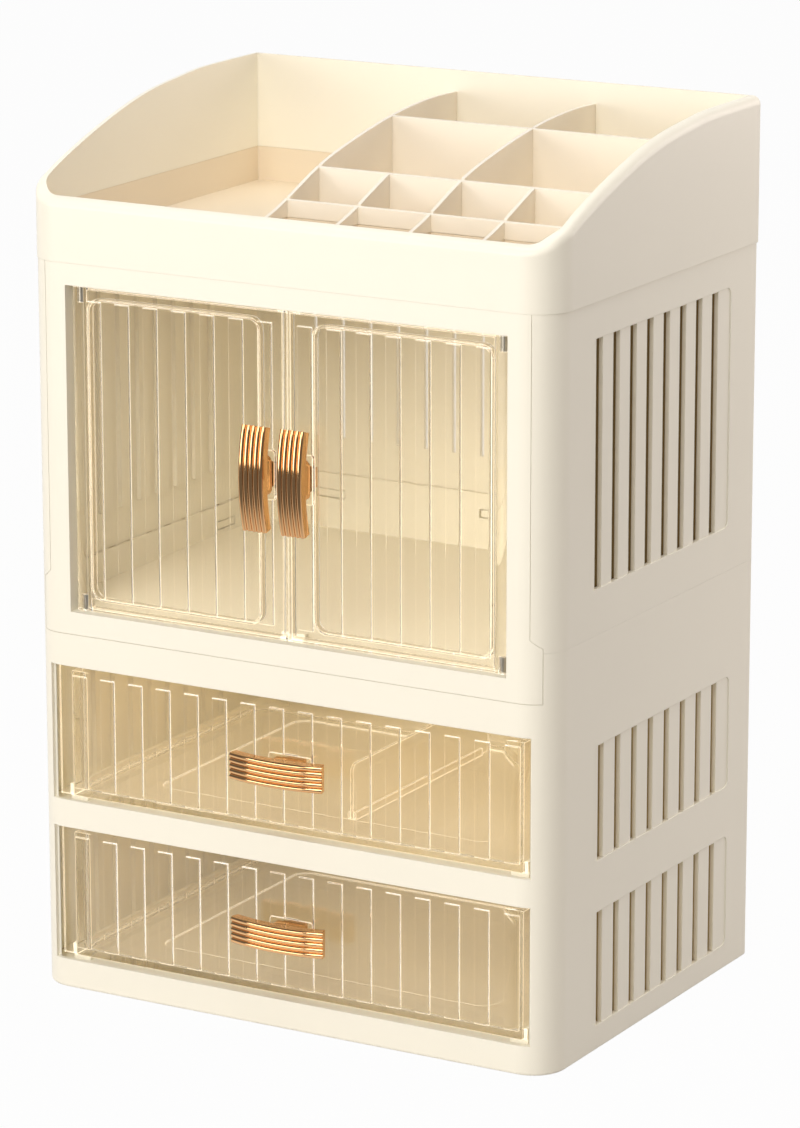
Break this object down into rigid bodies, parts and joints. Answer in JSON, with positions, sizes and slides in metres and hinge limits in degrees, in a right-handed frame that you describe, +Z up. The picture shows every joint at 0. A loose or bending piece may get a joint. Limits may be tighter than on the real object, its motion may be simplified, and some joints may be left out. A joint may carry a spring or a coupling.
{
  "type": "makeup organizer",
  "caption": "Plastic vanity organizer: clear fluted doors over stacked fluted drawers, louvred sides, and a top tray with a rising rim and a divider grid.",
  "frame": {"origin": "centre of the base outline, in the plane the organizer rests on", "axes": "+Z up, -Y out of the front where the doors and drawers open, +X to the right seen from the front"},
  "size_m": [0.3016, 0.2353, 0.4565],
  "materials": {
    "case_cream": "soft satin cream moulding",
    "pan_tan": "satin warm tan moulding",
    "grid_cream": "satin cream moulding",
    "clear_amber": "clear pale amber, glossy",
    "handle_copper": "bright copper-gold plating on a moulding",
    "pin_steel": "plain drawn steel"
  },
  "bodies": {
    "cabinet": {"drawer_case": "case_cream", "cabinet_shell": "case_cream", "cabinet_front_frame": "case_cream", "tray_surround": "case_cream", "tray_pan": "pan_tan", "divider_grid": "grid_cream", "left_hinge_pins": "pin_steel", "right_hinge_pins": "pin_steel", "door_catch_top": "case_cream", "door_catch_bottom": "case_cream"},
    "left_door": {"left_door": "clear_amber", "left_door_handle": "handle_copper", "left_door_handle_clip": "handle_copper"},
    "right_door": {"right_door": "clear_amber", "right_door_handle": "handle_copper", "right_door_handle_clip": "handle_copper"},
    "lower_drawer": {"lower_drawer": "clear_amber", "lower_drawer_handle": "handle_copper", "lower_drawer_handle_clip": "handle_copper"},
    "upper_drawer": {"upper_drawer": "clear_amber", "drawer_partition": "clear_amber", "upper_drawer_handle": "handle_copper", "upper_drawer_handle_clip": "handle_copper"}
  },
  "joints": [
    {"name": "left_door_hinge", "type": "hinge", "parent": "cabinet", "child": "left_door", "pos_m": [-0.1204, -0.104, 0.286], "axis": [0, 0, -1], "range_deg": [0, 95]},
    {"name": "right_door_hinge", "type": "hinge", "parent": "cabinet", "child": "right_door", "pos_m": [0.1204, -0.104, 0.286], "axis": [0, 0, 1], "range_deg": [0, 95]},
    {"name": "lower_drawer_slide", "type": "slide", "parent": "cabinet", "child": "lower_drawer", "axis": [0, -1, 0], "range_m": [0, 0.15]},
    {"name": "upper_drawer_slide", "type": "slide", "parent": "cabinet", "child": "upper_drawer", "axis": [0, -1, 0], "range_m": [0, 0.15]}
  ]
}
